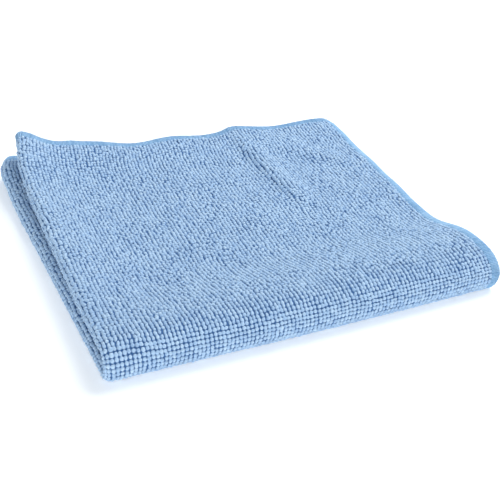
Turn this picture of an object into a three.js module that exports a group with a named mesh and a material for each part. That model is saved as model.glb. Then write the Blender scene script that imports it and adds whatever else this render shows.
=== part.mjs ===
// A microfibre polishing cloth: one square of knitted terry with an overlocked edge, folded in half twice.
// The first fold is the rounded edge on the left and the second is the fat round edge at the front.
// Millimetres, +Z up. X runs along the front fold, Y runs back from it, and the cloth lies on z = 0
// with the origin under the middle of its footprint.
import * as THREE from "three";

// Driving dimensions: the flat cloth
const CLOTH = 400; // side of the square before folding
const HALF = CLOTH / 2; // each fold halves it
const HEM_WIDTH = 5.5; // overlocked band round the edge
const PITCH = 1.5; // height that one pressed layer takes up in the stack
const THICK = 1.1; // thickness of one layer's solid
const SKIN = THICK / 2; // the outer layer's middle is this far inside the footprint
const CLEAR = 0.3; // gap between neighbouring solids

// The folded cloth's outline
const FOOT_HALF_X = 101.5; // half the footprint's width, along the front fold
const FOOT_HALF_Y = 100; // half the footprint's depth
const FRONT_SKEW = 7; // the front fold's right end stands this much further back than its left end
const FRONT_BOW = 1.2; // its middle bows forward by this much
const UPPER_BACK_Y = 96.3; // back edge of the top layer
const FOLD_HEIGHT = 18; // height of the front fold's crest
const CREST_REACH = [11, 17.5]; // from the front face back to the crest, at the left and right ends
const FOOT_REACH = [7, 4.5]; // from the front face back to the ground line, at the left and right ends
const RIDGE_LENGTH = 57; // how far back the front fold's crest takes to settle

// How the two pairs of layers lie on each other
const SLIDE_REACH = 30; // depth over which the pairs slide apart behind the front fold
const UPPER_SHIFT = { front: 2, more: 5.8, power: 1.2 }; // the upper pair sits to the right, more at the back
const RIGHT_INSET = 1; // the lower pair's right edge ends this far inside the footprint at the front
const RIGHT_TUCK = 6; // and this much further in at the back, under the upper pair
const TUCK_FROM_V = 8; // round the front fold the inset comes in over this much of the cloth
const FRONT_TAPER = 2; // the left folds are drawn in this much at the front
const TAPER_FROM_Y = 50; // and start to be drawn in here
const LEFT_BULGE = 2.55; // how far the left fold swells each layer away from its pair's middle
const FRONT_BULGE_SHARE = 0.45; // share of that swelling left at the front
const LEFT_REACH = 24; // how far in from the left fold the swelling lasts
const LEFT_NOSE = 3.6; // depth of the left fold's round nose
const LEFT_LOFT = 1.6; // the upper pair's left fold stands this much clear of the lower pair
const RIGHT_DROOP = { drop: 2.6, x: [97, 104], y: [-30, 30] }; // the upper pair's right edge hangs down

// The back edge and the curled back left corner, with the depths over which each comes in
const LOWER_CORNER_TUCK = { by: 6, y: [83, 103] }; // the lower pair's corner is rounded off
const UPPER_CORNER_TURN = { by: 3.5, y: [70, 98] }; // the upper pair's corner is turned in
const LOWER_CURL = { rise: 5, x: -98, reach: 22, y: [48, 100] };
const UPPER_CURL = { rise: 8.3, x: -60, reach: 34, fade: 1.1, y: [40, 98], steepness: 1.4 };
const HEM_STACK = { rise: 2.2, left: [-78, -58], right: [40, 100], y: [60, UPPER_BACK_Y] }; // thick hems

// How finely the bends and the flat parts are divided
const LEFT_STOPS = { bend: 6, bendSteps: 4, flatSteps: 12 };
const FRONT_STOPS = { bend: 20, bendSteps: 6, flatSteps: 12 };
const STOP_GROWTH = 1.15; // the flat steps get longer away from the bend

const clothMaterial = new THREE.MeshStandardMaterial({ color: 0xa9c8ec, roughness: 0.95, metalness: 0 });
const hemMaterial = new THREE.MeshStandardMaterial({ color: 0x8fbfe6, roughness: 0.8, metalness: 0 });
const backHemMaterial = new THREE.MeshStandardMaterial({ color: 0x84b6e2, roughness: 0.8, metalness: 0 });

const { clamp, lerp } = THREE.MathUtils;
const smooth = (from, to, at) => THREE.MathUtils.smoothstep(at, from, to);
const bell = (distance, width) => Math.exp(-((distance / width) ** 2));

// Share from 0 at the front fold to 1 far behind it, by which the two pairs have slid apart
const slid = (y) => 1 - Math.exp(-Math.max(y + FOOT_HALF_Y, 0) / SLIDE_REACH);
const along = (x) => clamp((x + FOOT_HALF_X) / (2 * FOOT_HALF_X), 0, 1);

// Plan view: where each pair's left fold, right hem and front stand
function leftEdge(upper, y) {
  const taper = FRONT_TAPER * clamp((TAPER_FROM_Y - y) / (TAPER_FROM_Y + FOOT_HALF_Y), 0, 1);
  const lower = taper + LOWER_CORNER_TUCK.by * smooth(...LOWER_CORNER_TUCK.y, y) ** 2;
  const turned = UPPER_CORNER_TURN.by * smooth(...UPPER_CORNER_TURN.y, y);
  const backShare = clamp((y + FOOT_HALF_Y) / (2 * FOOT_HALF_Y), 0, 1) ** UPPER_SHIFT.power;
  const shifted = UPPER_SHIFT.front + UPPER_SHIFT.more * backShare + turned;
  return SKIN - FOOT_HALF_X + (upper ? shifted : lower);
}
const rightEdge = (v, y) => FOOT_HALF_X - (RIGHT_INSET + RIGHT_TUCK * slid(y)) * smooth(0, TUCK_FROM_V, -v);
const frontY = (x) => FRONT_SKEW * along(x) - FOOT_HALF_Y - FRONT_BOW * Math.sin(Math.PI * along(x));
const crestReach = (x) => lerp(...CREST_REACH, along(x));
const footReach = (x) => lerp(...FOOT_REACH, along(x));

// Half the distance between the two layers of a pair, which swells towards the left fold
function halfGap(x, upper, y) {
  const swell = LEFT_BULGE * lerp(FRONT_BULGE_SHARE, 1, slid(y));
  return PITCH / 2 + swell * bell(x - leftEdge(upper, y), LEFT_REACH);
}

// Heights of the middle surfaces of the lower pair and the upper pair, with the corner curled up at the back
function lowerMiddle(x, y) {
  const curl = LOWER_CURL.rise * bell(x - LOWER_CURL.x, LOWER_CURL.reach) * smooth(...LOWER_CURL.y, y);
  return SKIN + curl + halfGap(x, false, y);
}

function upperMiddle(x, y) {
  const half = halfGap(x, true, y);
  const onLower = lowerMiddle(x, y) + halfGap(x, false, y) + PITCH + half;
  const pastCurl = Math.max(x - UPPER_CURL.x, 0) / UPPER_CURL.reach;
  const curledBack = smooth(...UPPER_CURL.y, y) ** UPPER_CURL.steepness;
  const curl = UPPER_CURL.rise * Math.exp(-(pastCurl ** UPPER_CURL.fade)) * curledBack;
  const loft = LEFT_LOFT * bell(x - leftEdge(true, y), LEFT_REACH);
  const stackedAcross = smooth(...HEM_STACK.left, x) * (1 - smooth(...HEM_STACK.right, x));
  const stack = HEM_STACK.rise * smooth(...HEM_STACK.y, y) * stackedAcross;
  const droop = RIGHT_DROOP.drop * smooth(...RIGHT_DROOP.x, x) * smooth(...RIGHT_DROOP.y, y);
  const level = onLower + curl + loft + stack - droop;
  const crest = FOLD_HEIGHT - SKIN - half;
  const settled = clamp((y - frontY(x) - crestReach(x)) / RIDGE_LENGTH, 0, 1);
  return level + ((crest - level) * (1 + Math.cos(Math.PI * settled))) / 2;
}

// A point of a pair's middle surface, at x and at distance v along the cloth from the front of the fold,
// positive over the top and negative underneath, with the direction that points away from the fold's inside
function middle(x, v) {
  const upper = v > 0;
  const half = halfGap(x, upper, frontY(x));
  const tall = FOLD_HEIGHT / 2 - SKIN - half;
  const reach = upper ? crestReach(x) : footReach(x);
  const deep = reach - SKIN - half;
  const bend = (Math.PI / 2) * Math.sqrt((tall * tall + deep * deep) / 2);
  const past = (Math.abs(v) - bend) / (HALF - bend);
  const side = upper ? 1 : -1;
  if (past < 0) {
    const turn = (Math.abs(v) / bend) * (Math.PI / 2);
    const y = frontY(x) + SKIN + half + deep * (1 - Math.cos(turn));
    const z = FOLD_HEIGHT / 2 + tall * Math.sin(turn) * side;
    const out = new THREE.Vector3(0, -Math.cos(turn) / deep, (Math.sin(turn) * side) / tall);
    return { at: new THREE.Vector3(x, y, z), out: out.normalize() };
  }
  const y = lerp(frontY(x) + reach, upper ? UPPER_BACK_Y : FOOT_HALF_Y, past);
  const height = upper ? upperMiddle : lowerMiddle;
  const slope = height(x, y + 0.5) - height(x, y - 0.5);
  const out = new THREE.Vector3(0, -slope, 1).normalize().multiplyScalar(side);
  return { at: new THREE.Vector3(x, y, height(x, y)), out };
}

// The cloth's own surface: u is the distance from the left fold, positive on the outer layer and negative
// on the inner one, and v is the distance from the front of the second fold
function clothPoint(u, v) {
  const upper = v > 0;
  const roughY = middle(0, v).at.y;
  const left = leftEdge(upper, roughY);
  const nose = (Math.PI / 2) * Math.sqrt((LEFT_NOSE ** 2 + (PITCH / 2 + LEFT_BULGE) ** 2) / 2);
  const fromFold = Math.abs(u);
  const turn = Math.min(fromFold / nose, 1) * (Math.PI / 2);
  const stretch = (rightEdge(v, roughY) - left - LEFT_NOSE) / (HALF - nose);
  const x = left + LEFT_NOSE * (1 - Math.cos(turn)) + Math.max(fromFold - nose, 0) * stretch;
  const { at, out } = middle(x, v);
  return at.addScaledVector(out, Math.sign(u) * halfGap(x, upper, at.y) * Math.sin(turn));
}

function clothNormal(u, v) {
  const step = 0.05;
  const side = clothPoint(u + step, v).sub(clothPoint(u - step, v));
  const back = clothPoint(u, v + step).sub(clothPoint(u, v - step));
  return side.cross(back).normalize();
}

// A closed slab over a rectangle of the cloth, its thickness set off to both sides of the cloth's surface
function slab(uStops, vStops) {
  const across = uStops.length;
  const down = vStops.length;
  const positions = [];
  for (const face of [1, -1])
    for (const v of vStops)
      for (const u of uStops) {
        const p = clothPoint(u, v).addScaledVector(clothNormal(u, v), (face * THICK) / 2);
        positions.push(p.x, p.y, p.z);
      }
  const index = [];
  const corner = (face, i, j) => face * across * down + j * across + i;
  const quad = (a, b, c, d) => index.push(a, b, c, a, c, d);
  for (let j = 0; j < down - 1; j++)
    for (let i = 0; i < across - 1; i++) {
      quad(corner(0, i, j), corner(0, i + 1, j), corner(0, i + 1, j + 1), corner(0, i, j + 1));
      quad(corner(1, i, j), corner(1, i, j + 1), corner(1, i + 1, j + 1), corner(1, i + 1, j));
    }
  for (let i = 0; i < across - 1; i++) {
    quad(corner(0, i, 0), corner(1, i, 0), corner(1, i + 1, 0), corner(0, i + 1, 0));
    const j = down - 1;
    quad(corner(0, i, j), corner(0, i + 1, j), corner(1, i + 1, j), corner(1, i, j));
  }
  for (let j = 0; j < down - 1; j++) {
    quad(corner(0, 0, j), corner(0, 0, j + 1), corner(1, 0, j + 1), corner(1, 0, j));
    const i = across - 1;
    quad(corner(0, i, j), corner(1, i, j), corner(1, i, j + 1), corner(0, i, j + 1));
  }
  const geometry = new THREE.BufferGeometry();
  geometry.setAttribute("position", new THREE.Float32BufferAttribute(positions, 3));
  geometry.setIndex(index);
  geometry.computeVertexNormals();
  return geometry;
}

// Stops from near a fold line out to an end, close together over the bend and wide apart on the flat
function stops(end, { bend, bendSteps, flatSteps }) {
  const start = CLEAR / 2;
  const list = [];
  for (let i = 0; i < bendSteps; i++) list.push(start + (i / bendSteps) * bend);
  for (let i = 0; i <= flatSteps; i++)
    list.push(lerp(start + bend, end, (i / flatSteps) ** STOP_GROWTH));
  return list;
}

const signed = (list, sign) => (sign > 0 ? list : list.map((value) => -value).reverse());

const PANEL_END = HALF - HEM_WIDTH - CLEAR;
const HEM_STOPS = [HALF - HEM_WIDTH, HALF];
const uPanel = stops(PANEL_END, LEFT_STOPS);
const vPanel = stops(PANEL_END, FRONT_STOPS);
const uWhole = [...uPanel, ...HEM_STOPS];

const cloth = new THREE.Group();

function addPiece(name, geometry, material) {
  const mesh = new THREE.Mesh(geometry, material);
  mesh.name = name;
  cloth.add(mesh);
}

// Each quarter of the cloth is one layer of the stack, with a hem down its right side and one across its back
const quarters = [
  { name: "top", uSign: 1, vSign: 1 },
  { name: "upper_inner", uSign: -1, vSign: 1 },
  { name: "lower_inner", uSign: -1, vSign: -1 },
  { name: "bottom", uSign: 1, vSign: -1 },
];
for (const { name, uSign, vSign } of quarters) {
  const panel = slab(signed(uPanel, uSign), signed(vPanel, vSign));
  addPiece(name + "_quarter", panel, clothMaterial);
  const side = slab(signed(HEM_STOPS, uSign), signed(vPanel, vSign));
  addPiece(name + "_side_hem", side, hemMaterial);
  const back = slab(signed(uWhole, uSign), signed(HEM_STOPS, vSign));
  addPiece(name + "_back_hem", back, backHemMaterial);
}

export default cloth;
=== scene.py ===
import math

import bpy
import numpy as np
from mathutils import Matrix, Vector


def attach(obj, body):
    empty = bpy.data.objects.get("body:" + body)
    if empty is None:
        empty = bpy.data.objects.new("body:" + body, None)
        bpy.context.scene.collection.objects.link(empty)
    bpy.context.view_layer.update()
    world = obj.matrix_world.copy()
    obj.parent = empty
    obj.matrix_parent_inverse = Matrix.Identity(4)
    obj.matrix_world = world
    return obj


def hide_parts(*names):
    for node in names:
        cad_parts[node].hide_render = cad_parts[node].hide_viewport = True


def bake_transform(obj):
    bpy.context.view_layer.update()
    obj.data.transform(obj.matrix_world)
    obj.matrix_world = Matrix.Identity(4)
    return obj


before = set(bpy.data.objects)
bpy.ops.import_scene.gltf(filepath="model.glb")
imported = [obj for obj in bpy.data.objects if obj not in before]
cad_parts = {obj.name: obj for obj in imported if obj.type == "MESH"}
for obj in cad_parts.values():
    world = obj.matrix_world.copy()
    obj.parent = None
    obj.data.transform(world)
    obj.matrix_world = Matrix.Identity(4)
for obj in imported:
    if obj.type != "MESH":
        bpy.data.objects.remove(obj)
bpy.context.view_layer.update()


# ---- How the cloth is folded ---------------------------------------------------------------------
# One square of cloth, folded in half to the left and then in half towards the front. Everything is
# made flat, as it is knitted and sewn, and then carried over these two folds. Sizes are in millimetres:
# u is the distance from the first fold, v the distance from the second, and w the height off the cloth.
CLOTH = 400
HALF = CLOTH / 2
LAYER = 1.5
PILE_TOP = 0.95
FOLD_HEIGHT = 18
HALF_WIDTH = 101.5
HALF_DEPTH = 100


def smooth(start, end, value):
    t = np.clip((value - start) / (end - start), 0, 1)
    return t * t * (3 - 2 * t)


def bell(distance, width):
    return np.exp(-((distance / width) ** 2))


SLIDE_REACH = 30


def slid_apart(y):
    """From 0 at the front fold to 1 behind it: how far the two pairs of layers have slid apart."""
    return 1 - np.exp(-np.maximum(y + HALF_DEPTH, 0) / SLIDE_REACH)


DRAWN_IN = 2
LOWER_CORNER_TUCK = 6
UPPER_SHIFT, UPPER_SHIFT_MORE = 2, 5.8
UPPER_CORNER_TURN = 3.5


def left_edge(upper, y):
    """The left fold of each pair: drawn in at the front, and rounded off or curled in at the back."""
    drawn_in = DRAWN_IN * np.clip((50 - y) / 150, 0, 1)
    lower = drawn_in + LOWER_CORNER_TUCK * smooth(83, 103, y) ** 2
    toward_back = np.clip((y + HALF_DEPTH) / (2 * HALF_DEPTH), 0, 1)
    shifted = UPPER_SHIFT + UPPER_SHIFT_MORE * toward_back**1.2 + UPPER_CORNER_TURN * smooth(70, 98, y)
    return PILE_TOP - HALF_WIDTH + np.where(upper, shifted, lower)


RIGHT_INSET = 0.4
RIGHT_TUCK, RIGHT_TUCK_MORE, TUCK_FROM_V = 1, 6, -8


def right_edge(v, y):
    """The right hems: the lower pair's is tucked in under the upper pair's."""
    ruffle = 0.5 * np.sin(y / 13 + 1) + 0.3 * np.sin(y / 5.3)
    tuck = (RIGHT_TUCK + RIGHT_TUCK_MORE * slid_apart(y)) * smooth(0, TUCK_FROM_V, v)
    return HALF_WIDTH - RIGHT_INSET - tuck + ruffle


def along(x):
    return np.clip((x + HALF_WIDTH) / (2 * HALF_WIDTH), 0, 1)


# The front edge runs slightly askew and bows out. From it, these are the distances back to the crest
# and to the ground line, at the left end, and what changes towards the right.
FRONT_SKEW = 7
FRONT_BOW = 1.2
TOP_REACH, TOP_REACH_MORE = 11, 6.5
FOOT_REACH, FOOT_REACH_LESS = 7, 2.5


def front_y(x):
    return FRONT_SKEW * along(x) - HALF_DEPTH - FRONT_BOW * np.sin(math.pi * along(x))


def top_reach(x):
    return TOP_REACH + TOP_REACH_MORE * along(x)


def foot_reach(x):
    return FOOT_REACH - FOOT_REACH_LESS * along(x)


LEFT_BULGE = 2.55
LEFT_REACH = 24
BULGE_AT_FRONT = 0.45


def half_gap(x, upper, y):
    """Half the distance between the two layers of a pair: it swells towards the left fold."""
    swell = LEFT_BULGE * (BULGE_AT_FRONT + (1 - BULGE_AT_FRONT) * slid_apart(y))
    return LAYER / 2 + swell * bell(x - left_edge(upper, y), LEFT_REACH)


LOWER_CURL = 5


def lower_middle(x, y):
    curl = LOWER_CURL * bell(x + 98, 22) * smooth(48, 100, y)
    return PILE_TOP + curl + half_gap(x, False, y)


# Heights of what lies on the upper pair. The ridge and the crease are steeper on their left sides.
UPPER_CURL = 8.3
LOOSE_FOLD = 1.6
HEM_STACK = 2.2
HEM_WAVE = 0.8
RIGHT_DROOP = 2.6
RIDGE_HEIGHT, RIDGE_WIDTHS = 3.8, (4, 9)
CREASE_HEIGHT, CREASE_WIDTHS = 1.8, (5, 9)
CREST_LENGTH = 57


def upper_middle(x, y):
    """The upper pair's level: on the lower pair, with its curl, hems, droop, ridge and crease."""
    half = half_gap(x, True, y)
    on_lower = lower_middle(x, y) + half_gap(x, False, y) + LAYER + half
    corner_curl = UPPER_CURL * np.exp(-((np.maximum(x + 60, 0) / 34) ** 1.1)) * smooth(40, 98, y) ** 1.4
    loose = LOOSE_FOLD * bell(x - left_edge(True, y), 26) + corner_curl
    thick_hems = HEM_STACK * smooth(60, 97, y) * smooth(-78, -58, x) * (1 - smooth(40, 100, x))
    hem_wave = HEM_WAVE * np.cos(math.tau * (x - 43) / 45) * smooth(70, 97, y)
    droop = RIGHT_DROOP * smooth(95, 104, x) * smooth(-30, 30, y)
    rumple = 0.35 * np.sin(x / 19 + y / 31) + 0.3 * np.sin(x / 37 - y / 15 + 1)
    off_ridge = x - 42 + 0.07 * y
    ridge = RIDGE_HEIGHT * bell(off_ridge, np.where(off_ridge < 0, *RIDGE_WIDTHS)) * smooth(-5, 25, y)
    ridge *= 1 - 0.6 * smooth(66, 94, y)
    off_crease = 0.654 * (x - 62) + 0.757 * (y - 62)
    crease = CREASE_HEIGHT * bell(off_crease, np.where(off_crease < 0, *CREASE_WIDTHS))
    crease = crease * smooth(44, 56, x) * smooth(20, 45, y)
    crease *= 1 - 0.7 * smooth(78, 100, x)
    relief = (rumple + ridge + crease + hem_wave) * smooth(-100, -70, x)
    level = on_lower + loose + thick_hems - droop + relief
    crest = FOLD_HEIGHT - PILE_TOP - half
    settled = np.clip((y - front_y(x) - top_reach(x)) / CREST_LENGTH, 0, 1)
    return level + (crest - level) * 0.5 * (1 + np.cos(math.pi * settled))


UPPER_BACK_Y = 96.3
BACK_INSET = 0.8


def pair_middle(x, v, slip):
    """Where a pair of layers runs, at x and at v along the cloth, and which way is outwards there."""
    upper = v > 0
    half = half_gap(x, upper, front_y(x))
    tall = FOLD_HEIGHT / 2 - PILE_TOP - half
    deep = np.where(upper, top_reach(x), foot_reach(x)) - PILE_TOP - half
    bend = math.pi / 2 * np.sqrt((tall**2 + deep**2) / 2)
    turn = np.minimum(np.abs(v) / bend, 1) * math.pi / 2
    rise = np.where(upper, 1, -1)
    past = np.maximum((np.abs(v) - bend) / (HALF - bend), 0)
    ruffle = 0.5 * np.sin(x / 14) + 0.35 * np.sin(x / 6 + 2)
    back = np.where(upper, UPPER_BACK_Y, HALF_DEPTH) - BACK_INSET + ruffle + slip
    start = front_y(x) + np.where(upper, top_reach(x), foot_reach(x))
    y_bend = front_y(x) + PILE_TOP + half + deep * (1 - np.cos(turn))
    y = np.where(past > 0, start + past * (back - start), y_bend)

    def height(at_y):
        return np.where(upper, upper_middle(x, at_y), lower_middle(x, at_y))

    z = np.where(past > 0, height(y), FOLD_HEIGHT / 2 + tall * np.sin(turn) * rise)
    slope = height(y + 0.5) - height(y - 0.5)
    out_y = np.where(past > 0, -slope * rise, -np.cos(turn) / deep)
    out_z = np.where(past > 0, rise, rise * np.sin(turn) / tall)
    length = np.hypot(out_y, out_z)
    return y, z, out_y / length, out_z / length


INNER_SLIP = 2.0
LEFT_NOSE = 3.6


def on_cloth(u, v):
    """The cloth's own surface, u > 0 on the outer layer of a pair and u < 0 on the inner one."""
    upper = v > 0
    slip = np.where(u < 0, INNER_SLIP * smooth(15, 110, -u) * smooth(20, 190, np.abs(v)), 0)
    rough_y = pair_middle(np.zeros_like(u), v, slip * 0)[0]
    left = left_edge(upper, rough_y)
    nose = math.pi / 2 * math.sqrt((LEFT_NOSE**2 + (LAYER / 2 + LEFT_BULGE) ** 2) / 2)
    turn = np.minimum(np.abs(u) / nose, 1) * math.pi / 2
    stretch = (right_edge(v, rough_y) - left - LEFT_NOSE) / (HALF - nose)
    x = left + LEFT_NOSE * (1 - np.cos(turn)) + np.maximum(np.abs(u) - nose, 0) * stretch
    y, z, out_y, out_z = pair_middle(x, v, slip)
    away = np.sign(u) * half_gap(x, upper, y) * np.sin(turn)
    return np.stack([x, y + out_y * away, z + out_z * away], 1)


def fold(flat):
    """Carries flat points (u, v, w) in millimetres over both folds, to metres in the row frame."""
    u, v, w = np.asarray(flat, float).T
    step = 0.05
    side = on_cloth(u + step, v) - on_cloth(u - step, v)
    back = on_cloth(u, v + step) - on_cloth(u, v - step)
    face = np.cross(side, back)
    face /= np.linalg.norm(face, axis=1)[:, None]
    return (on_cloth(u, v) + face * w[:, None]) * 0.001


def fold_mesh(mesh):
    """Folds a flat mesh, and keeps each corner's place on the flat cloth as its UV map."""
    flat = np.zeros(len(mesh.vertices) * 3)
    mesh.vertices.foreach_get("co", flat)
    flat = flat.reshape(-1, 3)
    corners = np.zeros(len(mesh.loops), np.int32)
    mesh.loops.foreach_get("vertex_index", corners)
    place = flat[corners, :2] / CLOTH + 0.5
    layer = mesh.uv_layers.get("OFBake") or mesh.uv_layers.new(name="OFBake")
    layer.data.foreach_set("uv", place.astype(np.float32).ravel())
    mesh.vertices.foreach_set("co", fold(flat).astype(np.float32).ravel())
    mesh.update()


def shown(name, mesh):
    piece = bpy.data.objects.new(name, mesh)
    bpy.context.scene.collection.objects.link(piece)
    mesh.shade_smooth()
    return piece


# The front of the fold is a strip of its own, attached to neither half. Its upper and lower limits are on
# the flat, where the layers have already parted.
FRONT_TOP = 19
FRONT_FOOT = -10


def goes_with(piece, half):
    """Lets a piece ride on the upper or lower half; a piece of the front fold only has its place baked
    into its mesh.
    """
    if half == "front":
        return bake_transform(piece)
    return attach(piece, half + "_half")


# ---- Finishes --------------------------------------------------------------------------------------
def material(name):
    made = bpy.data.materials.new(name)
    made.use_nodes = True
    nodes, links = made.node_tree.nodes, made.node_tree.links
    return made, nodes, links, nodes["Principled BSDF"]


def fibre_group():
    """Fine split fibres: a streaky tone and a height, both from noise stretched along one way."""
    group = bpy.data.node_groups.new("fine_fibres", "ShaderNodeTree")
    face = group.interface
    face.new_socket("Fibre size", in_out="INPUT", socket_type="NodeSocketFloat")
    face.new_socket("Patch size", in_out="INPUT", socket_type="NodeSocketFloat")
    face.new_socket("Fibres", in_out="OUTPUT", socket_type="NodeSocketFloat")
    face.new_socket("Patches", in_out="OUTPUT", socket_type="NodeSocketFloat")
    nodes, links = group.nodes, group.links
    given, result = nodes.new("NodeGroupInput"), nodes.new("NodeGroupOutput")
    place = nodes.new("ShaderNodeTexCoord")
    for size, out, detail in (("Fibre size", "Fibres", 3), ("Patch size", "Patches", 2)):
        noise, scale = nodes.new("ShaderNodeTexNoise"), nodes.new("ShaderNodeMath")
        scale.operation = "DIVIDE"
        scale.inputs[0].default_value = 1
        noise.inputs["Detail"].default_value = detail
        links.new(given.outputs[size], scale.inputs[1])
        links.new(scale.outputs[0], noise.inputs["Scale"])
        links.new(place.outputs["Object"], noise.inputs["Vector"])
        links.new(noise.outputs["Fac"], result.inputs[out])
    return group


FIBRES = fibre_group()
FIBRE_SIZE = 0.0008
FIBRE_DEPTH = 0.0006
TONE_PATCH_SIZE = 0.012
FIBRE_CONTRAST = 1.6
LOOP_CONTRAST, LOOP_OFFSET = 0.55, -0.65
PLAIN_OFFSET = -0.38
PATCH_CONTRAST, PATCH_OFFSET = 0.5, 0.2


def yarn_finish(name, dark, light, roughness, sheen, bump, reads_tone):
    """Dyed microfibre yarn: two close blues mixed by the loop's own tone, by patches and by fibres. For
    the ground, both blues are darkened as painted shade.
    """
    made, nodes, links, surface = material(name)
    fibres = nodes.new("ShaderNodeGroup")
    fibres.node_tree = FIBRES
    fibres.inputs["Fibre size"].default_value = FIBRE_SIZE
    fibres.inputs["Patch size"].default_value = TONE_PATCH_SIZE
    tone = nodes.new("ShaderNodeMath")
    tone.operation = "MULTIPLY_ADD"
    tone.inputs[1].default_value = FIBRE_CONTRAST
    links.new(fibres.outputs["Fibres"], tone.inputs[0])
    if reads_tone:
        loop_tone = nodes.new("ShaderNodeAttribute")
        loop_tone.attribute_name = "yarn_tone"
        lift = nodes.new("ShaderNodeMath")
        lift.operation = "MULTIPLY_ADD"
        lift.inputs[1].default_value = LOOP_CONTRAST
        lift.inputs[2].default_value = LOOP_OFFSET
        links.new(loop_tone.outputs["Fac"], lift.inputs[0])
        links.new(lift.outputs[0], tone.inputs[2])
    else:
        tone.inputs[2].default_value = PLAIN_OFFSET
    patch = nodes.new("ShaderNodeMath")
    patch.operation = "MULTIPLY_ADD"
    patch.inputs[1].default_value = PATCH_CONTRAST
    patch.use_clamp = True
    links.new(fibres.outputs["Patches"], patch.inputs[0])
    shift = nodes.new("ShaderNodeMath")
    shift.operation = "SUBTRACT"
    shift.inputs[1].default_value = PATCH_OFFSET
    links.new(tone.outputs[0], shift.inputs[0])
    links.new(shift.outputs[0], patch.inputs[2])
    colour = nodes.new("ShaderNodeMix")
    colour.data_type = "RGBA"
    colour.inputs["A"].default_value = (*dark, 1)
    colour.inputs["B"].default_value = (*light, 1)
    links.new(patch.outputs[0], colour.inputs["Factor"])
    links.new(colour.outputs["Result"], surface.inputs["Base Color"])
    height = nodes.new("ShaderNodeBump")
    height.inputs["Strength"].default_value = bump
    height.inputs["Distance"].default_value = FIBRE_DEPTH
    links.new(fibres.outputs["Fibres"], height.inputs["Height"])
    links.new(height.outputs["Normal"], surface.inputs["Normal"])
    surface.inputs["Roughness"].default_value = roughness
    surface.inputs["Sheen Weight"].default_value = sheen
    surface.inputs["Sheen Roughness"].default_value = 0.5
    surface.inputs["Specular IOR Level"].default_value = 0.25
    return made


# The ground's two blues are painted shade: darker than its dyed yarn, for the ground that shows only in
# the shade between the loops.
GROUND_YARN_PAINTED_SHADE = yarn_finish("ground_yarn_painted_shade", (0.045, 0.115, 0.26), (0.08, 0.175, 0.37), 0.95, 0.0, 0.5, False)
PILE_YARN = yarn_finish("pile_yarn", (0.33, 0.50, 0.73), (0.54, 0.71, 0.88), 0.9, 0.15, 0.5, True)
EDGE_YARN = yarn_finish("edge_yarn", (0.23, 0.43, 0.66), (0.40, 0.61, 0.82), 0.7, 0.1, 0.4, True)


# ---- Ground of the cloth -----------------------------------------------------------------------------
# The knitted ground that holds the loops: one piece, 0.6 mm thick, that ends inside the overlock. It is
# made flat in three strips that share their edges: the upper half, the front fold and the lower half.
GROUND_THICK = 0.6
GROUND_EDGE = HALF - 3


def flat_slab(u_stops, v_stops, thick):
    """A closed flat slab over these stops, as vertices and faces."""
    across, down = len(u_stops), len(v_stops)
    u, v = np.meshgrid(u_stops, v_stops)
    sheet = np.stack([u.ravel(), v.ravel()], 1)
    top = np.column_stack([sheet, np.full(len(sheet), thick / 2)])
    under = np.column_stack([sheet, np.full(len(sheet), -thick / 2)])
    at = np.arange(across * down).reshape(down, across)
    a, b, c, d = at[:-1, :-1], at[:-1, 1:], at[1:, 1:], at[1:, :-1]
    faces = np.stack([a, b, c, d], -1).reshape(-1, 4)
    below = faces[:, ::-1] + across * down
    rim = np.concatenate([at[0, :], at[1:, -1], at[-1, -2::-1], at[-2:0:-1, 0]])
    next_rim = np.roll(rim, -1)
    sides = np.stack([rim, rim + across * down, next_rim + across * down, next_rim], 1)
    return np.concatenate([top, under]), np.concatenate([faces, below, sides])


def stops(start, end, step):
    return np.linspace(start, end, max(2, round(abs(end - start) / step) + 1))


LEFT_FOLD_ZONE = 12
FLAT_STEP, FOLD_STEP, STRIP_STEP = 3, 0.6, 2.5
u_stops = np.unique(
    np.concatenate(
        [
            stops(-GROUND_EDGE, -LEFT_FOLD_ZONE, FLAT_STEP),
            stops(-LEFT_FOLD_ZONE, LEFT_FOLD_ZONE, FOLD_STEP),
            stops(LEFT_FOLD_ZONE, GROUND_EDGE, FLAT_STEP),
        ]
    )
)
GROUND_STRIPS = {
    "upper": (FRONT_TOP, GROUND_EDGE, STRIP_STEP),
    "front": (FRONT_FOOT, FRONT_TOP, FOLD_STEP),
    "lower": (-GROUND_EDGE, FRONT_FOOT, STRIP_STEP),
}
for half, (start, end, step) in GROUND_STRIPS.items():
    vertices, faces = flat_slab(u_stops, stops(start, end, step), GROUND_THICK)
    mesh = bpy.data.meshes.new("cloth_ground_" + half)
    mesh.from_pydata(vertices.tolist(), [], faces.tolist())
    fold_mesh(mesh)
    mesh.materials.append(GROUND_YARN_PAINTED_SHADE)
    goes_with(shown("cloth_ground_" + half, mesh), half)
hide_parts("top_quarter", "upper_inner_quarter")
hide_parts("bottom_quarter", "lower_inner_quarter")


# ---- Terry pile --------------------------------------------------------------------------------------
# Small loops of split yarn, knitted into the ground in columns that run from front to back. They lie
# down and run together on the flat and stand open over the front fold.
def geometry_tree(name, numbers):
    """A geometry node tree with named number inputs, and a way to add nodes to it."""
    tree = bpy.data.node_groups.new(name, "GeometryNodeTree")
    tree.interface.new_socket("Geometry", in_out="INPUT", socket_type="NodeSocketGeometry")
    for label, kind in numbers.items():
        tree.interface.new_socket(label, in_out="INPUT", socket_type="NodeSocket" + kind)
    tree.interface.new_socket("Geometry", in_out="OUTPUT", socket_type="NodeSocketGeometry")
    given, result = tree.nodes.new("NodeGroupInput"), tree.nodes.new("NodeGroupOutput")

    def add(kind, inputs, **settings):
        node = tree.nodes.new(kind)
        for key, value in settings.items():
            setattr(node, key, value)
        named = {socket.identifier: socket for socket in node.inputs}
        for key, value in inputs.items():
            socket = node.inputs[key] if isinstance(key, int) else named[key]
            if isinstance(value, bpy.types.NodeSocket):
                tree.links.new(value, socket)
            else:
                socket.default_value = value
        return node

    return tree, given, result, add


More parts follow.
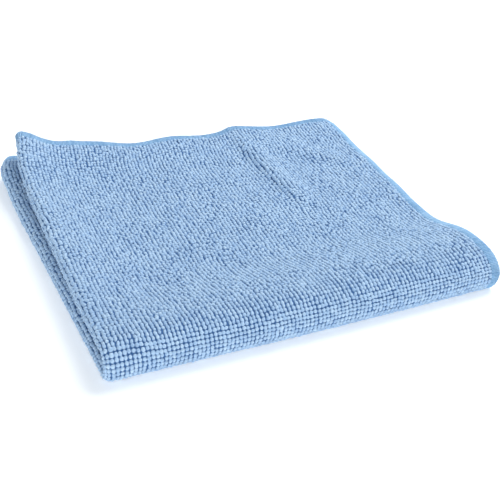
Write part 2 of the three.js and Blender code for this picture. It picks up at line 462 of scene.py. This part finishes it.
def grown(tree, values, base=None):
    """Runs a tree on a base mesh with these input values, and gives back what it makes as a plain mesh."""
    holder = bpy.data.objects.new("holder", base or bpy.data.meshes.new("holder"))
    bpy.context.scene.collection.objects.link(holder)
    modifier = holder.modifiers.new("grow", "NODES")
    modifier.node_group = tree
    for item in tree.interface.items_tree:
        if item.in_out == "INPUT" and item.name in values:
            modifier[item.identifier] = values[item.name]
    graph = bpy.context.evaluated_depsgraph_get()
    mesh = bpy.data.meshes.new_from_object(holder.evaluated_get(graph))
    bpy.data.objects.remove(holder)
    return mesh


def number(add, kind, low, high, seed):
    """A random number or vector for each point, with a fixed seed."""
    least, most, output = ("Min_001", "Max_001", 1) if kind == "FLOAT" else ("Min", "Max", 0)
    node = add("FunctionNodeRandomValue", {least: low, most: high, "Seed": seed}, data_type=kind)
    return node.outputs[output]


def pile_tree():
    tree, given, result, add = geometry_tree(
        "terry_pile",
        {
            "Columns": "Int",
            "Rows": "Int",
            "Width": "Float",
            "Length": "Float",
            "Centre": "Vector",
            "Loop size": "Vector",
            "Lean": "Float",
            "Wander": "Vector",
            "Unruliness": "Float",
            "Patch size": "Float",
        },
    )
    value = given.outputs

    def mix(operation, first, second):
        return add("ShaderNodeVectorMath", {0: first, 1: second}, operation=operation).outputs[0]

    def noise(size, output):
        scale = add("ShaderNodeMath", {0: 1.0, 1: size}, operation="DIVIDE")
        return add("ShaderNodeTexNoise", {"Scale": scale.outputs[0], "Detail": 1.0}).outputs[output]

    grid = add(
        "GeometryNodeMeshGrid",
        {
            "Size X": value["Width"],
            "Size Y": value["Length"],
            "Vertices X": value["Columns"],
            "Vertices Y": value["Rows"],
        },
    )
    centred = add(
        "GeometryNodeSetPosition", {"Geometry": grid.outputs["Mesh"], "Offset": value["Centre"]}
    )
    # The columns wander with the cloth's stretch, and in patches the loops have been rubbed out of line.
    patch = noise(value["Patch size"], "Fac")
    rubbed = add(
        "ShaderNodeMapRange",
        {"Value": patch, "From Min": 0.35, "From Max": 0.65, "To Min": 0.7, "To Max": 1.3},
    )
    unruly = add(
        "ShaderNodeMath", {0: rubbed.outputs["Result"], 1: value["Unruliness"]}, operation="MULTIPLY"
    ).outputs[0]
    stretch = mix("SUBTRACT", noise(value["Patch size"], "Color"), (0.5, 0.5, 0.5))
    scatter = number(add, "FLOAT_VECTOR", (-0.32, -0.36, -0.15), (0.32, 0.36, 0.12), seed=11)
    offset = mix("ADD", mix("MULTIPLY", scatter, unruly), mix("MULTIPLY", stretch, value["Wander"]))
    points = add("GeometryNodeSetPosition", {"Geometry": centred.outputs["Geometry"], "Offset": offset})
    vary = number(add, "FLOAT_VECTOR", (0.84, 0.84, 0.75), (1.1, 1.1, 1.25), seed=37)
    sized = mix("MULTIPLY", vary, value["Loop size"])
    turned = number(add, "FLOAT_VECTOR", (-0.3, -0.3, -0.9), (0.3, 0.3, 0.9), seed=23)
    twist = mix("MULTIPLY", turned, unruly)
    lean = add("ShaderNodeCombineXYZ", {"X": value["Lean"]})
    loop = add("GeometryNodeMeshIcoSphere", {"Radius": 1.0, "Subdivisions": 1})
    loops = add(
        "GeometryNodeInstanceOnPoints",
        {
            "Points": points.outputs["Geometry"],
            "Instance": loop.outputs["Mesh"],
            "Rotation": mix("ADD", twist, lean.outputs[0]),
            "Scale": sized,
        },
    )
    tone = add(
        "GeometryNodeStoreNamedAttribute",
        {
            "Geometry": loops.outputs["Instances"],
            "Name": "yarn_tone",
            "Value": number(add, "FLOAT", 0.0, 1.0, seed=41),
        },
        data_type="FLOAT",
        domain="INSTANCE",
    )
    real = add("GeometryNodeRealizeInstances", {"Geometry": tone.outputs["Geometry"]})
    finished = add(
        "GeometryNodeSetMaterial", {"Geometry": real.outputs["Geometry"], "Material": PILE_YARN}
    )
    tree.links.new(finished.outputs["Geometry"], result.inputs["Geometry"])
    return tree


PILE = pile_tree()
COLUMN_PITCH = 1.95
ROW_PITCH = 1.85
PILE_EDGE = HALF - 5
PILE_LEVEL = 0.42
WANDER = (1.6, 1.2, 0.0)
RUBBED_PATCH_SIZE = 15.0
LYING_LOOP = (1.1, 1.2, 0.6)
PARTED_LOOP = (0.9, 1.24, 0.7)
STANDING_LOOP = (1.12, 1.06, 0.74)
CREST_START = 8
PILE_PATCHES = {
    "top": ("upper", (0, PILE_EDGE), (FRONT_TOP, PILE_EDGE), LYING_LOOP, 0.3, 1.0),
    "upper_inner": ("upper", (-PILE_EDGE, 0), (FRONT_TOP, PILE_EDGE), LYING_LOOP, 0.3, 1.0),
    "crest": ("front", (-PILE_EDGE, PILE_EDGE), (CREST_START, FRONT_TOP), PARTED_LOOP, 0.15, 0.7),
    "front": ("front", (-PILE_EDGE, PILE_EDGE), (FRONT_FOOT, CREST_START), STANDING_LOOP, 0.0, 0.6),
    "lower_inner": ("lower", (-PILE_EDGE, 0), (-PILE_EDGE, FRONT_FOOT), LYING_LOOP, -0.3, 1.0),
    "bottom": ("lower", (0, PILE_EDGE), (-PILE_EDGE, FRONT_FOOT), LYING_LOOP, -0.3, 1.0),
}
piles = {"upper": [], "front": [], "lower": []}
for name, (half, (u0, u1), (v0, v1), loop_size, lean, unruliness) in PILE_PATCHES.items():
    columns = round((u1 - u0) / COLUMN_PITCH)
    rows = round((v1 - v0) / ROW_PITCH)
    mesh = grown(
        PILE,
        {
            "Columns": columns,
            "Rows": rows,
            "Width": (u1 - u0) * (columns - 1) / columns,
            "Length": (v1 - v0) * (rows - 1) / rows,
            "Centre": ((u0 + u1) / 2, (v0 + v1) / 2, PILE_LEVEL),
            "Loop size": loop_size,
            "Lean": lean,
            "Wander": WANDER,
            "Unruliness": unruliness,
            "Patch size": RUBBED_PATCH_SIZE,
        },
    )
    fold_mesh(mesh)
    piece = goes_with(shown("pile_" + name, mesh), half)
    piles[half].append(piece)


# ---- Overlocked edge ---------------------------------------------------------------------------------
# The raw edge is wrapped all round by an overlock seam, 5.6 mm wide: looper threads laid over and under
# it, close together, and a needle thread whose stitches run along the band's inner side.
BAND_WIDTH = 5.6
BAND_THICK = 1.5
CORNER_RADIUS = 8
WRAP_PITCH = 0.8
STITCH_PITCH = 2.4
THREAD_RADIUS = 0.37
CORE_INSET, CORE_THINNING = 0.3, 0.2
NEEDLE_STITCH = (0.24, 0.2, 1.0)
NEEDLE_INSET = 0.4


def edge_path(half, inset, margin):
    """The line this far inside the cloth's edge, along one half or over the front, as a mesh of edges."""
    side, radius = HALF - inset, max(CORNER_RADIUS - inset, 1)
    start, end, _ = GROUND_STRIPS[half]
    if half == "front":
        lines = [[(u, start + margin), (u, end - margin)] for u in (side, -side)]
    else:
        sign, near = (1, start + margin) if half == "upper" else (-1, margin - end)
        quarter = np.linspace(0, math.pi / 2, 7)
        arc = side - radius + radius * np.stack([np.cos(quarter), np.sin(quarter)], 1)
        line = [(side, near), *arc, *(arc[::-1] * (-1, 1)), (-side, near)]
        lines = [[(u, sign * v) for u, v in line]]
    points, edges = [], []
    for line in lines:
        edges += [(len(points) + i, len(points) + i + 1) for i in range(len(line) - 1)]
        points += [(u, v, 0) for u, v in line]
    path = bpy.data.meshes.new("edge_path")
    path.from_pydata(points, edges, [])
    return path


def along_edge(name, numbers):
    """Starts a tree that turns the path it is given into a curve with points at an even pitch."""
    tree, given, result, add = geometry_tree(name, {"Pitch": "Float", **numbers})
    curve = add("GeometryNodeMeshToCurve", {"Mesh": given.outputs["Geometry"]})
    upright = add("GeometryNodeSetCurveNormal", {"Curve": curve.outputs["Curve"]}, mode="Z_UP")
    path = add(
        "GeometryNodeResampleCurve",
        {"Curve": upright.outputs["Curve"], "Length": given.outputs["Pitch"]},
        mode="LENGTH",
    )
    points = add("GeometryNodeCurveToPoints", {"Curve": path.outputs["Curve"]}, mode="EVALUATED")
    return tree, given.outputs, result, add, path.outputs["Curve"], points.outputs


def hem_tree():
    numbers = {"Half width": "Float", "Half thickness": "Float", "Thread": "Float"}
    tree, value, result, add, path, points = along_edge("overlock", numbers)
    ring = add("GeometryNodeCurvePrimitiveCircle", {"Resolution": 12, "Radius": 1.0}, mode="RADIUS")
    flatness = add(
        "ShaderNodeCombineXYZ", {"X": value["Half width"], "Y": value["Half thickness"], "Z": 1.0}
    )
    flat_ring = add(
        "GeometryNodeTransform", {"Geometry": ring.outputs["Curve"], "Scale": flatness.outputs[0]}
    )
    strand = add(
        "GeometryNodeCurvePrimitiveCircle", {"Resolution": 4, "Radius": value["Thread"]}, mode="RADIUS"
    )
    wrap = add(
        "GeometryNodeCurveToMesh",
        {"Curve": flat_ring.outputs["Geometry"], "Profile Curve": strand.outputs["Curve"]},
    )
    wraps = add(
        "GeometryNodeInstanceOnPoints",
        {
            "Points": points["Points"],
            "Instance": wrap.outputs["Mesh"],
            "Rotation": points["Rotation"],
            "Scale": number(add, "FLOAT_VECTOR", (0.95, 0.9, 1.0), (1.02, 1.1, 1.0), seed=5),
        },
    )
    tone = add(
        "GeometryNodeStoreNamedAttribute",
        {
            "Geometry": wraps.outputs["Instances"],
            "Name": "yarn_tone",
            "Value": number(add, "FLOAT", 0.0, 1.0, seed=9),
        },
        data_type="FLOAT",
        domain="INSTANCE",
    )
    core = add(
        "GeometryNodeCurveToMesh",
        {"Curve": path, "Profile Curve": flat_ring.outputs["Geometry"], "Fill Caps": True},
    )
    both = add("GeometryNodeJoinGeometry", {"Geometry": tone.outputs["Geometry"]})
    tree.links.new(core.outputs["Mesh"], both.inputs["Geometry"])
    real = add("GeometryNodeRealizeInstances", {"Geometry": both.outputs["Geometry"]})
    finished = add(
        "GeometryNodeSetMaterial", {"Geometry": real.outputs["Geometry"], "Material": EDGE_YARN}
    )
    tree.links.new(finished.outputs["Geometry"], result.inputs["Geometry"])
    return tree


def stitch_tree():
    numbers = {"Stitch": "Vector", "Height": "Float"}
    tree, value, result, add, _, points = along_edge("needle_thread", numbers)
    bead = add("GeometryNodeMeshIcoSphere", {"Radius": 1.0, "Subdivisions": 1})
    faces = add("GeometryNodeJoinGeometry", {})
    for sign in (1.0, -1.0):
        height = add("ShaderNodeMath", {0: value["Height"], 1: sign}, operation="MULTIPLY")
        lift = add("ShaderNodeCombineXYZ", {"Z": height.outputs[0]})
        raised = add("GeometryNodeSetPosition", {"Geometry": points["Points"], "Offset": lift.outputs[0]})
        stitches = add(
            "GeometryNodeInstanceOnPoints",
            {
                "Points": raised.outputs["Geometry"],
                "Instance": bead.outputs["Mesh"],
                "Rotation": points["Rotation"],
                "Scale": value["Stitch"],
            },
        )
        tree.links.new(stitches.outputs["Instances"], faces.inputs["Geometry"])
    real = add("GeometryNodeRealizeInstances", {"Geometry": faces.outputs["Geometry"]})
    finished = add(
        "GeometryNodeSetMaterial", {"Geometry": real.outputs["Geometry"], "Material": EDGE_YARN}
    )
    tree.links.new(finished.outputs["Geometry"], result.inputs["Geometry"])
    return tree


HEM, STITCHES = hem_tree(), stitch_tree()
hems = {"upper": [], "front": [], "lower": []}
for half in GROUND_STRIPS:
    band = grown(
        HEM,
        {
            "Pitch": WRAP_PITCH,
            "Half width": BAND_WIDTH / 2 - CORE_INSET,
            "Half thickness": BAND_THICK / 2 - CORE_THINNING,
            "Thread": THREAD_RADIUS,
        },
        edge_path(half, BAND_WIDTH / 2, WRAP_PITCH / 2),
    )
    thread = grown(
        STITCHES,
        {"Pitch": STITCH_PITCH, "Stitch": NEEDLE_STITCH, "Height": BAND_THICK / 2},
        edge_path(half, BAND_WIDTH - NEEDLE_INSET, STITCH_PITCH / 2),
    )
    for name, mesh in (("overlock_" + half, band), ("needle_thread_" + half, thread)):
        fold_mesh(mesh)
        hems[half].append(goes_with(shown(name, mesh), half))
for half, layers in (("upper", ("top", "upper_inner")), ("lower", ("bottom", "lower_inner"))):
    nodes = [layer + hem for layer in layers for hem in ("_side_hem", "_back_hem")]
    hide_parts(*nodes)


# ---- Floor, light and camera ----------------------------------------------------------------------------
# A wide sheet of white paper under the cloth, which glows a little so that it stays plain.
floor_mesh = bpy.data.meshes.new("floor")
FLOOR = 3.0
floor_mesh.from_pydata(
    [(-FLOOR, -FLOOR, 0), (FLOOR, -FLOOR, 0), (FLOOR, FLOOR, 0), (-FLOOR, FLOOR, 0)], [], [(0, 1, 2, 3)]
)
floor = bpy.data.objects.new("floor", floor_mesh)
bpy.context.scene.collection.objects.link(floor)
paper, _, _, paper_surface = material("white_paper")
paper_surface.inputs["Base Color"].default_value = (0.95, 0.95, 0.95, 1)
paper_surface.inputs["Roughness"].default_value = 0.9
paper_surface.inputs["Emission Color"].default_value = (1, 1, 1, 1)
paper_surface.inputs["Emission Strength"].default_value = 0.3
floor_mesh.materials.append(paper)

world = bpy.data.worlds.new("studio")
bpy.context.scene.world = world
world.use_nodes = True
world.node_tree.nodes["Background"].inputs["Color"].default_value = (0.76, 0.88, 1, 1)
world.node_tree.nodes["Background"].inputs["Strength"].default_value = 0.45

# Two softboxes: the key stands high on the right and behind, the fill low in front on the left.
SOFTBOXES = {"key": ((0.62, 0.30, 0.80), 0.8, 11.2), "fill": ((-0.45, -1.0, 0.42), 0.9, 6.2)}
for name, (place, size, power) in SOFTBOXES.items():
    lamp_data = bpy.data.lights.new(name + "_softbox", "AREA")
    lamp_data.energy = power
    lamp_data.size = size
    lamp = bpy.data.objects.new(name + "_softbox", lamp_data)
    lamp.location = place
    lamp.rotation_euler = Vector(place).to_track_quat("Z", "Y").to_euler()
    bpy.context.scene.collection.objects.link(lamp)

AZIMUTH, ELEVATION, DISTANCE, ROLL = math.radians(-23.7), math.radians(32.3), 0.6227, math.radians(2)
TARGET = Vector((0.0014, -0.0178, 0))
SENSOR = 36
LENS_TO_SENSOR = 2.457
camera_data = bpy.data.cameras.new("camera")
camera_data.sensor_width = SENSOR
camera_data.lens = LENS_TO_SENSOR * SENSOR
camera_data.clip_start = 0.01
camera = bpy.data.objects.new("camera", camera_data)
back = Vector(
    (
        math.sin(AZIMUTH) * math.cos(ELEVATION),
        -math.cos(AZIMUTH) * math.cos(ELEVATION),
        math.sin(ELEVATION),
    )
)
turn = back.to_track_quat("Z", "Y").to_matrix() @ Matrix.Rotation(ROLL, 3, "Z")
camera.matrix_world = Matrix.Translation(TARGET + back * DISTANCE) @ turn.to_4x4()
bpy.context.scene.collection.objects.link(camera)
bpy.context.scene.camera = camera
bpy.context.scene.view_settings.view_transform = "Standard"
